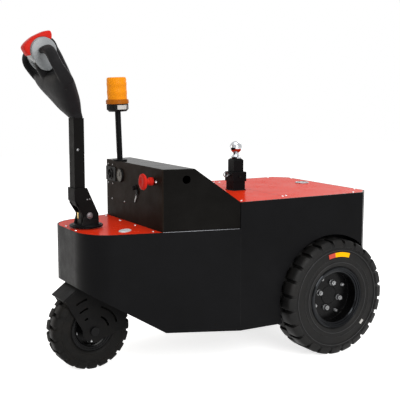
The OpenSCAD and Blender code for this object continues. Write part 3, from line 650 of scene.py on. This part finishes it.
def tyre(bm, centre, r, w, rim_r, lug_h, lugs, gap, ridges):
    """Rounded carcass with two staggered rows of drafted lugs that wrap over the shoulders."""
    h = w / 2
    m = facing(centre, LEFT)
    rb = r - lug_h
    # Half section of the carcass from the rim to the tread: radius and distance from the middle plane
    half = [(rim_r - 15, h - 17), (rim_r - 6, h - 13), (rim_r - 1, h - 10), (rim_r + 4, h - 4.5),
            (rim_r + 9, h - 2)]
    for q in ridges:
        half += [(q - 2.4, h - 1.9), (q - 1, h - 0.2), (q + 1, h - 0.2), (q + 2.4, h - 1.9)]
    half += [(rb - 9, h - 4), (rb - 3, h - 8), (rb, h - 16)]
    lathe(bm, [(a, -b) for a, b in half] + [(a, b) for a, b in half[::-1]], 96, m)
    step = 2 * pi / lugs
    span = step - gap / r
    # Outline of a lug across the tread: radius and distance from the middle plane
    out = [(rb - 2, 0.8), (r - 1.0, 0.8), (r, 2.2), (r, h - 19), (r - 1.6, h - 12), (r - 5, h - 7),
           (rb - 4, h - 2.6), (rb - 15, h - 0.6), (rb - 17, h - 5), (rb - 6, h - 12)]
    # Stations along a lug: share of its half length, and how much lower it is there
    ends = ((-1, 1.5), (-0.93, 0.4), (-0.82, 0), (-0.3, 0), (0.3, 0), (0.82, 0), (0.93, 0.4), (1, 1.5))
    for side in (1, -1):
        for k in range(lugs):
            mid = pi / 2 + (k + (0 if side > 0 else 0.5)) * step
            rings = []
            for u, shrink in ends:
                a = mid + u * span / 2
                ring = []
                for q, y in out:
                    d = q - shrink if q > rb else q
                    ring.append(m @ (Vector((d * cos(a), d * sin(a), side * y)) / 1000))
                rings.append(ring)
            loft(bm, rings)


def arc_band(bm, r0, r1, a0, a1):
    """Sticker on the near rear tyre's side."""
    y = REAR_Y + REAR_W / 2
    rings = []
    for k in range(19):
        a = radians(a0 + (a1 - a0) * k / 18)
        rings.append([at(q * cos(a), v, REAR_R + q * sin(a))
                      for q, v in ((r0, y - 2), (r0, y), (r1, y), (r1, y - 2))])
    loft(bm, rings)


def on_disc(side, r, deg):
    """Point on a rear wheel's disc."""
    return at(r * cos(radians(deg)), side * (REAR_Y + DISC_OUT), REAR_R + r * sin(radians(deg)))


REAR_RIM_R, REAR_LUG, REAR_LUGS, REAR_GAP, REAR_RIDGES = 124, 13, 24, 15, (160,)
DISC_OUT = 6
# Nuts and bolts of the disc: circle, turn of the first, across flats and height, stud and washer
NUT_CIRCLE, NUT_TURN, NUT, NUT_TAIL = 51.5, 17.4, (19, 13), (3, 12)
BOLT_CIRCLE, BOLT_TURN, BOLT, BOLT_TAIL = 76.5, 62.4, (12, 6), (1.5, 7.5)
# Steps of the rim's lip: in from its radius, in from the tyre's side
RIM_LIP = ((22, 15), (17, 12.5), (16, 8.5), (10, 7), (9, 4), (4, 3), (0.5, 5.6))
lip = [(REAR_RIM_R - a + 0.1, REAR_W / 2 - b + 0.3) for a, b in RIM_LIP]
# Mould lines of the tyre's side: radii, half widths at the foot and top, depth and gap to the side's plane
BEADS = (143, 192)
BEAD_HALF, BEAD_TOP, BEAD_DEEP, BEAD_IN = 1.9, 1.0, 2.5, 0.3


def bead_section(r):
    """Section of a mould line at a radius."""
    foot, top = REAR_W / 2 - BEAD_DEEP, REAR_W / 2 - BEAD_IN
    return [(r - BEAD_HALF, foot), (r - BEAD_TOP, top), (r + BEAD_TOP, top), (r + BEAD_HALF, foot)]


for side, word in SIDES:
    body = "rear_wheel_" + word
    out = (0, side, 0)
    hub = at(0, side * REAR_Y, REAR_R)
    many("tyre_" + word + "_detail",
         [(tyre, (hub, REAR_R, REAR_W, REAR_RIM_R, REAR_LUG, REAR_LUGS, REAR_GAP, REAR_RIDGES))],
         RUBBER, body, "tyre_rubber", replaces=("tyre_" + word,), sharp=38)
    many("wheel_nuts_" + word,
         [(hex_nut, (on_disc(side, NUT_CIRCLE, NUT_TURN + 90 * k), out, *NUT, 0.3 + k, *NUT_TAIL))
          for k in range(4)], ZINC, body, "steel")
    many("rim_bolts_" + word,
         [(hex_nut, (on_disc(side, BOLT_CIRCLE, BOLT_TURN + 90 * k), out, *BOLT, 0.2 + k, *BOLT_TAIL))
          for k in range(4)], ZINC, body, "steel")
    many("rim_lip_" + word, [(lathe, (lip, 128, facing(hub, out)))], LIP, body, "black_paint", sharp=24)
for side, word in SIDES:
    hub_m = facing(at(0, side * REAR_Y, REAR_R), (0, side, 0))
    many("tyre_beads_" + word, [(lathe, (bead_section(r), 128, hub_m)) for r in BEADS],
         BEAD_HIGHLIGHT, "rear_wheel_" + word, "tyre_rubber")
# Stickers on the near tyre: inner and outer radius, turns in degrees
RED_PATCH = (166, 184, 74.5, 84.8)
YELLOW_PATCH = (166, 184, 84.8, 108)
WHITE_PATCH = (164, 174, -141, -134.5)
many("sticker_red", [(arc_band, RED_PATCH)], STICK_RED, "rear_wheel_left", "red_plastic")
many("sticker_yellow", [(arc_band, YELLOW_PATCH)], STICK_YELLOW, "rear_wheel_left", "amber_lens")
many("sticker_white", [(arc_band, WHITE_PATCH)], LABEL, "rear_wheel_left", "grey_plastic")

FRONT_RIM_R, FRONT_LUG, FRONT_LUGS, FRONT_GAP, FRONT_RIDGES = 83, 9, 20, 13, (96, 122)
FRONT_DISC, FRONT_CIRCLE, FRONT_BOLT, FRONT_BOLT_TAIL = 4, 54, (10, 5), (1.5, 7)
many("front_tyre_detail",
     [(tyre, (at(FRONT_X, 0, FRONT_R), FRONT_R, FRONT_W, FRONT_RIM_R, FRONT_LUG, FRONT_LUGS, FRONT_GAP,
              FRONT_RIDGES))],
     FRONT_RUBBER, "front_wheel", "tyre_rubber", replaces=("front_tyre",), sharp=38)
rim_turns = [radians(-19 + 72 * k) for k in range(5)]
many("front_rim_bolts",
     [(hex_nut, (at(FRONT_X + FRONT_CIRCLE * cos(a), s * FRONT_DISC, FRONT_R + FRONT_CIRCLE * sin(a)),
                 (0, s, 0), *FRONT_BOLT, a, *FRONT_BOLT_TAIL)) for s in (1, -1) for a in rim_turns],
     ZINC, "front_wheel", "steel")

# Steering and tiller
CHEEK_SCREW, CHEEK_AHEAD, CHEEK_DOWN = 9, 12, 37
many("fork_screws", [(screw, (at(FRONT_X + CHEEK_AHEAD, s * CHEEK, FRONT_R - CHEEK_DOWN), (0, s, 0),
                              CHEEK_SCREW)) for s in (1, -1)], ZINC, "steering", "steel")


def along_x(u, v, w):
    """Point u mm ahead of the steering axis, v mm up and w mm to the left."""
    return at(FRONT_X + u, w, v)


def along_y(u, v, w):
    """Point u mm to the left of the steering axis, v mm up and w mm ahead."""
    return at(FRONT_X + w, u, v)


# Stepped disc of the flange, and the hinge lug that stands on it
DISC_T, DISC_STEP = 9, 8
STEP_Z = FLANGE_Z + DISC_T
STEP_R = FLANGE_R - DISC_STEP
LUG_R, LUG_SIDE, LUG_EDGE = 27, 20, 2
DISC = [(0, 0), (FLANGE_R, 0), (FLANGE_R, 5), (FLANGE_R - 1, 6), (STEP_R, 6), (STEP_R, DISC_T - 1),
        (STEP_R - 1, DISC_T), (0, DISC_T)]
bm = bmesh.new()
lathe(bm, DISC, 72, facing(at(FRONT_X, 0, FLANGE_Z), UP))
disc_faces = len(bm.faces)
lug_top = [(LUG_R * cos(pi * k / 16), PIN.z + LUG_R * sin(pi * k / 16)) for k in range(17)]
plate(bm, [(-LUG_R, STEP_Z), (LUG_R, STEP_Z)] + lug_top, along_x, -LUG_SIDE, LUG_SIDE, LUG_EDGE)
bm.faces.ensure_lookup_table()
for f in bm.faces[disc_faces:]:
    f.material_index = 1
piece("flange_detail", bm, [BLACK, FORK], "steering", "black_paint", replaces=("tiller_flange",))
# Yellow block let into the lug's front: to the left, up
BUSH = [(-18, PIN.z - 16), (-7, PIN.z - 16), (-7, PIN.z + 8), (-18, PIN.z + 8)]
many("lug_bush", [(plate, (BUSH, along_y, LUG_R - 1, LUG_R + 1, 0.6))], YELLOW_ZINC, "steering", "steel")
# Low bracket ears beside the yoke's foot, clear of it and under the pin's heads
EAR_IN, EAR_T, EAR_EDGE, EAR_LOW, EAR_HIGH = YOKE + 5, 4, 1, PIN.z - 14, PIN.z - 2
EAR = [(-34, STEP_Z - 1), (33, STEP_Z - 1), (24, EAR_HIGH), (14, EAR_HIGH), (10, EAR_LOW), (-34, EAR_LOW)]
many("hinge_ears", [(plate, (EAR, along_x, EAR_IN, EAR_IN + EAR_T, EAR_EDGE)),
                    (plate, (EAR, along_x, -EAR_IN - EAR_T, -EAR_IN, EAR_EDGE))],
     FORK, "steering", "black_paint")
# Skirt that carries the yoke's front plate down over its cheeks, clear of the flange at full tilt
SKIRT_TOP, SKIRT_FOOT = PIN.z + 57, PIN.z + 35
SKIRT = [(YOKE_FRONT - 5, SKIRT_TOP), (YOKE_FRONT - 0.1, SKIRT_TOP), (43, SKIRT_FOOT), (38.5, SKIRT_FOOT)]
many("yoke_skirt", [(plate, (SKIRT, along_x, -YOKE, YOKE, 0.8))], ARM_COAT, "tiller", "black_paint")
# Screws of the yoke and bolts of the arm: diameter, then ahead of the pin and up
YOKE_SCREW, YOKE_SCREWS = 6, ((7, 60), (-3, 61))
ARM_BOLT, ARM_BOLT_X, ARM_BOLT_Z = 11, 38, 245
PIN_CAP = [(10, 0), (10, 1), (8.5, 2.0), (4, 2.4), (3.4, 1.6), (0, 1.6)]
many("yoke_screws", [(screw, (at(PIN.x + x, s * YOKE, PIN.z + z), (0, s, 0), YOKE_SCREW)) for s in (1, -1)
                     for x, z in YOKE_SCREWS], ZINC, "tiller", "steel")
many("arm_bolts", [(screw, (at(PIN.x + ARM_BOLT_X, s * ARM, PIN.z + ARM_BOLT_Z), (0, s, 0), ARM_BOLT))
                   for s in (1, -1)], STEEL, "tiller", "steel")
many("pin_caps", [(lathe, (PIN_CAP, 28, facing(at(PIN.x, s * PIN_OUT, PIN.z), (0, s, 0)))) for s in (1, -1)],
     PIN_STEEL, "tiller", "steel")

# Tiller head: one moulding blended from the housing, its core and the two grips
TILT = radians(30)
HEAD_X, HEAD_Z = PIN.x + 32, PIN.z + 360


def in_head(n, s, t):
    """Point of the head: mm ahead, to the left and up from the foot of the head."""
    return at(HEAD_X + n * cos(TILT) + t * sin(TILT), s, HEAD_Z - n * sin(TILT) + t * cos(TILT))


def catmull(path, u):
    """Point of a smooth curve through the path, u points along it."""
    i = min(int(u), len(path) - 2)
    f = u - i
    a, b, c, d = (path[max(i - 1, 0)], path[i], path[i + 1], path[min(i + 2, len(path) - 1)])
    return tuple(0.5 * (2 * q + f * (r - p) + f * f * (2 * p - 5 * q + 4 * r - v)
                        + f ** 3 * (3 * q - p - 3 * r + v)) for p, q, r, v in zip(a, b, c, d))


def smooth_line(path, n):
    """Points that cut the smooth curve through the path into n parts."""
    return [catmull(path, (len(path) - 1) * k / n) for k in range(n + 1)]


def soft(c):
    """Fuller than a sine or cosine, so that a section is a rounded square."""
    return (1 if c >= 0 else -1) * abs(c) ** 0.75


def head_point(q, turn):
    """Skin of a section (ahead, up, share of the tilt, half width, half depth) at a turn from its front."""
    n0, t0, lean, w, dp = q
    c, s, a = soft(cos(turn)), soft(sin(turn)), lean * TILT
    return in_head(n0, 0, t0) + Vector((dp * c * cos(a), w * s, -dp * c * sin(a))) / 1000


def head_ring(q):
    """The whole skin of a section."""
    return [head_point(q, k * pi / 32) for k in range(64)]


# Sections of the housing and of its core: ahead, up, share of the tilt, half width, half depth
HOUSING = [(0, 0, 0, 29, 23), (0, 20, 0.4, 33, 27), (-3, 58, 1, 58, 37), (-2, 98, 1, 88, 41),
           (0, 130, 1, 114, 43), (2, 156, 1, 133, 42), (3, 176, 1, 143, 37), (4, 190, 1, 142, 29),
           (5, 198, 1, 136, 17)]
CORE = [(-12, 140, 1, 46, 48), (-14, 178, 1, 34, 52), (-14.5, 196, 1, 27, 53.5),
        (-15.5, 225, 1, 26.5, 54.5), (-20, 250, 1, 26, 50), (-28, 268, 1, 24, 40)]
# Middle line of a grip: ahead, out and up; then its half thickness, half breadth and way of the breadth
GRIP = [(0, 114, 148), (6, 134, 182), (11, 144, 213), (12, 146, 236), (8, 138, 257), (1, 116, 272),
        (-5, 80, 279), (-8, 38, 277)]
GRIP_THICK, GRIP_BROAD = 12, 19.6
GRIP_SIDE = Vector((1, -0.36, 0))
GRIP_STEPS, TANGENT_STEP, ROOT_SWELL, ROOT_END = 60, 0.05, 0.15, 2
# Throttle drum: ahead and up in the head, radius, half width, and the caps' outer side
DRUM_N, DRUM_T, DRUM_R, DRUM_HALF, CAP_OUT = -10, 272, 48, 26, 34


def grip_rings(side):
    """Rounded sections along a grip, thicker where it leaves the housing."""
    rings = []
    last = len(GRIP) - 1
    for k in range(GRIP_STEPS + 1):
        u = k * last / GRIP_STEPS
        c = Vector(catmull(GRIP, u))
        before, after = max(u - TANGENT_STEP, 0), min(u + TANGENT_STEP, last)
        d = Vector(catmull(GRIP, after)) - Vector(catmull(GRIP, before))
        e = d.cross(GRIP_SIDE).normalized()
        g = d.normalized().cross(e)
        swell = 1 + ROOT_SWELL * max(0, ROOT_END - u)
        ring = []
        for j in range(24):
            a = j * pi / 12
            q = c + swell * (GRIP_THICK * soft(cos(a)) * e + GRIP_BROAD * soft(sin(a)) * g)
            ring.append(in_head(q.x, side * q.y, q.z))
        rings.append(ring)
    return rings


def blended(name, bm, voxel, passes, material, body, slot, replaces):
    """Closes overlapping forms into one skin and rounds where they meet."""
    bmesh.ops.recalc_face_normals(bm, faces=bm.faces[:])
    me = bpy.data.meshes.new(name + "_rough")
    bm.to_mesh(me)
    bm.free()
    ob = bpy.data.objects.new(name + "_rough", me)
    scene.collection.objects.link(ob)
    close = ob.modifiers.new("close", "REMESH")
    close.mode = "VOXEL"
    close.voxel_size = voxel
    relax = ob.modifiers.new("round", "SMOOTH")
    relax.factor = 0.5
    relax.iterations = passes
    got = bpy.data.meshes.new_from_object(ob.evaluated_get(bpy.context.evaluated_depsgraph_get()))
    bpy.data.objects.remove(ob)
    got.name = name
    out = bmesh.new()
    out.from_mesh(got)
    bpy.data.meshes.remove(got)
    return piece(name, out, [material], body, slot, sharp=70, replaces=replaces)


# Shell round the drum's back: turns in degrees from upright, thickness and half widths
SHELL_FROM, SHELL_SWEEP, SHELL_STEPS = -150, 82, 24
SHELL_R = DRUM_R + 9
SHELL = ((DRUM_R - 1, -24), (SHELL_R, -22), (SHELL_R, 22), (DRUM_R - 1, 24))
SKIN_VOXEL, SKIN_PASSES = 0.0026, 9
bm = bmesh.new()
loft(bm, [head_ring(q) for q in smooth_line(HOUSING, 32)])
loft(bm, [head_ring(q) for q in smooth_line(CORE, 20)])
for side in (1, -1):
    loft(bm, grip_rings(side))
shell = []
for k in range(SHELL_STEPS + 1):
    a = radians(SHELL_FROM + k * SHELL_SWEEP / SHELL_STEPS)
    shell.append([in_head(DRUM_N + r * sin(a), s, DRUM_T + r * cos(a)) for r, s in SHELL])
loft(bm, shell)
head = blended("head_housing", bm, SKIN_VOXEL, SKIN_PASSES, PLASTIC, "tiller", "black_plastic",
               ("tiller_head", "grip_left", "grip_right"))
HEAD_SKIN = BVHTree.FromPolygons([v.co for v in head.data.vertices], [f.vertices for f in head.data.polygons])
# Dark screw recess on the near side of the head, its shade painted in: way it faces, station and turn of the
# housing, radius
SCREW_FACES = Vector((0.36, 0.93, 0.01)).normalized()
SCREW_STATION, SCREW_TURN, SCREW_R = 4, 12.5 * pi / 32, 3.4


def screw_recess_painted_shade(bm, u, turn, r):
    """Shallow dark dish on the head's skin, at a station and turn of the housing: a screw recess whose shade
    is painted in.
    """
    inside = head_point(catmull(HOUSING, u), turn)
    place, out, _, _ = HEAD_SKIN.ray_cast(inside + SCREW_FACES / 10, -SCREW_FACES)
    lathe(bm, [(r + 1.2, -0.6), (r + 0.9, 0.5), (r, 0.5), (r * 0.8, 0.1), (0, 0.1)], 24,
          facing(place, out))


many("head_screw_painted_shade", [(screw_recess_painted_shade, (SCREW_STATION, SCREW_TURN, SCREW_R))], RIM, "tiller", "black_plastic")


def on_drum(u, v, w):
    """Point u mm ahead of the drum's axis, v mm up and w mm to the left, in the head's tilt."""
    return in_head(DRUM_N + u, w, DRUM_T + v)


# Outline of a cap: most of a circle, closed by the smooth line of its wing
CAP_R = DRUM_R - 1
CAP_TURNS = range(0, 237, 6)
WING = [(-26, -40), (-2, -62), (14, -70), (28, -65), (42, -50), (48, -26), (CAP_R, 0)]
CAP_IN, CAP_EDGE, DRUM_EDGE = DRUM_HALF + 1, 3, 1.5
cap = [(CAP_R * cos(radians(a)), CAP_R * sin(radians(a))) for a in CAP_TURNS]
cap += smooth_line(WING, 30)[:-1]
drum = [(DRUM_R * cos(pi * k / 36), DRUM_R * sin(pi * k / 36)) for k in range(72)]
many("throttle_detail", [(plate, (drum, on_drum, -DRUM_HALF, DRUM_HALF, DRUM_EDGE)),
                         (plate, (cap, on_drum, CAP_IN, CAP_OUT, CAP_EDGE)),
                         (plate, (cap, on_drum, -CAP_OUT, -CAP_IN, CAP_EDGE))],
     GREY, "tiller", "grey_plastic", replaces=("throttle",))

# Outer line of the belly bow, ahead of and above the drum's axis
BOW = [(55, 10), (57, 28), (55, 44), (40, 52), (18, 57), (-2, 58.5), (-40, 55), (-59, 48), (-60, 36),
       (-53, 24)]
BOW_HALF, BOW_EDGE, BOW_SUNK, BOW_GAP = 23, 6, 0.6, 0.5
rings = []
for u, v in smooth_line(BOW, 60):
    turn = Vector((u, v)).normalized()
    outer = Vector((u, v)).length - BOW_SUNK
    inner = DRUM_R + BOW_GAP
    edge = min(BOW_EDGE, outer - inner - 1)
    section = [(inner, -BOW_HALF), (outer - edge, -BOW_HALF), (outer - edge * 0.3, -BOW_HALF + edge * 0.3),
               (outer, -BOW_HALF + edge), (outer, BOW_HALF - edge),
               (outer - edge * 0.3, BOW_HALF - edge * 0.3), (outer - edge, BOW_HALF), (inner, BOW_HALF)]
    rings.append([on_drum(q * turn.x, q * turn.y, w) for q, w in section])
many("belly_bow", [(loft, (rings,))], SIGNAL, "tiller", "red_plastic", replaces=("belly_switch",), sharp=50)


# Camera, background, floor and light
CAMERA_AT = at(2105.7, 2923.5, 1082.3)
YAW, PITCH, ROLL = radians(30.4), radians(7.8), radians(0.1)
cam = bpy.data.cameras.new("photo_camera")
cam_ob = bpy.data.objects.new("photo_camera", cam)
scene.collection.objects.link(cam_ob)
look = Vector((-sin(YAW) * cos(PITCH), -cos(YAW) * cos(PITCH), -sin(PITCH)))
cam_ob.matrix_world = (Matrix.Translation(CAMERA_AT)
                       @ look.to_track_quat("-Z", "Y").to_matrix().to_4x4() @ Matrix.Rotation(ROLL, 4, "Z"))
cam.sensor_width = 36
cam.lens = 76.04
cam.shift_x, cam.shift_y = -0.016, -0.00625
cam.clip_end = 100
scene.camera = cam_ob
scene.view_settings.view_transform = "Standard"


def seen_white(t):
    """1 where the camera, a reflection or a refraction sees the surface, 0 for the light it gives."""
    lp = t.nodes.new("ShaderNodeLightPath")
    a = t.nodes.new("ShaderNodeMath")
    a.operation = "MAXIMUM"
    t.links.new(lp.outputs["Is Camera Ray"], a.inputs[0])
    t.links.new(lp.outputs["Is Glossy Ray"], a.inputs[1])
    b = t.nodes.new("ShaderNodeMath")
    b.operation = "MAXIMUM"
    t.links.new(a.outputs[0], b.inputs[0])
    t.links.new(lp.outputs["Is Transmission Ray"], b.inputs[1])
    return b.outputs[0]


world = bpy.data.worlds.new("studio")
scene.world = world
world.use_nodes = True
wt = world.node_tree
wt.nodes.clear()
w_out = wt.nodes.new("ShaderNodeOutputWorld")
w_mix = wt.nodes.new("ShaderNodeMixShader")
w_soft = wt.nodes.new("ShaderNodeBackground")
w_soft.inputs[0].default_value = (1.0, 0.985, 0.96, 1)
w_soft.inputs[1].default_value = 0.55
w_white = wt.nodes.new("ShaderNodeBackground")
w_white.inputs[0].default_value = (1, 1, 1, 1)
w_white.inputs[1].default_value = 1.0
wt.links.new(seen_white(wt), w_mix.inputs[0])
wt.links.new(w_soft.outputs[0], w_mix.inputs[1])
wt.links.new(w_white.outputs[0], w_mix.inputs[2])
wt.links.new(w_mix.outputs[0], w_out.inputs[0])

floor_coat, floor_tree, floor_shader = new_material("pale_floor")
floor_shader.inputs["Base Color"].default_value = (0.86, 0.86, 0.86, 1)
floor_shader.inputs["Roughness"].default_value = 0.9
floor_shader.inputs["Specular IOR Level"].default_value = 0.0
floor_shader.inputs["Emission Color"].default_value = (0.72, 0.72, 0.72, 1)
floor_tree.links.new(seen_white(floor_tree), floor_shader.inputs["Emission Strength"])
FLOOR, FLOOR_T = 9, 0.02
floor_edge = ((-FLOOR, 0.0), (FLOOR, 0.0), (FLOOR, -FLOOR_T), (-FLOOR, -FLOOR_T))
bm = bmesh.new()
loft(bm, [[Vector((x, y, z)) for x, z in floor_edge] for y in (-FLOOR, -FLOOR / 3, FLOOR / 3, FLOOR)])
floor_mesh = bpy.data.meshes.new("floor")
bm.to_mesh(floor_mesh)
bm.free()
floor_mesh.materials.append(floor_coat)
floor = bpy.data.objects.new("floor", floor_mesh)
scene.collection.objects.link(floor)


def area(name, loc, target, size, power, color=(1, 1, 1)):
    """Round soft lamp: place and aim in metres, size in metres, power in watts."""
    lamp = bpy.data.lights.new(name, "AREA")
    lamp.shape = "DISK"
    lamp.size = size
    lamp.energy = power
    lamp.color = color
    ob = bpy.data.objects.new(name, lamp)
    scene.collection.objects.link(ob)
    ob.matrix_world = (Matrix.Translation(Vector(loc))
                       @ (Vector(target) - Vector(loc)).to_track_quat("-Z", "Y").to_matrix().to_4x4())


area("front_soft", (2.5, -2.2, 1.0), (0.2, 0, 0.5), 2.3, 20, (1.0, 0.92, 0.82))
area("top", (0.2, 0.4, 3.6), (0, 0, 0.4), 3.0, 45)
area("side_fill", (0.4, 4.2, 2.2), (0, 0, 0.4), 2.6, 150)
area("back_rim", (-3.2, -2.2, 2.4), (0, 0, 0.6), 1.8, 40)
